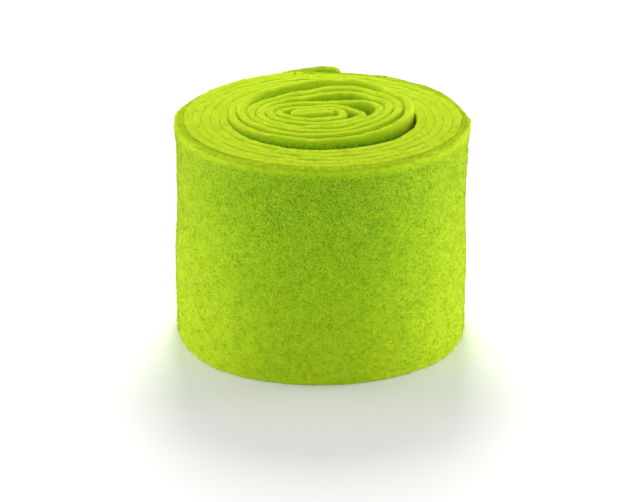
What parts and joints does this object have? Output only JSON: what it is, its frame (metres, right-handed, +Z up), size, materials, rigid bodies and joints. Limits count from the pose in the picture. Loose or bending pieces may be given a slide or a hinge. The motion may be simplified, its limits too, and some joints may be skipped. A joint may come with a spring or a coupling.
{
  "type": "roll of felt",
  "caption": "Thick wool felt ribbon rolled up on itself and standing on edge, with a slightly raised inner coil; cloth for craft and floral trimming.",
  "frame": {"origin": "on the floor, at the middle of the roll's footprint", "axes": "+Z up along the winding axis, +Y to the back where the strip's outer end lies, +X to the right"},
  "size_m": [0.1992, 0.197, 0.1589],
  "materials": {
    "felt": "matt lime-green wool felt with a soft fibrous nap"
  },
  "bodies": {
    "root": {"felt_strip": "felt"}
  },
  "joints": []
}
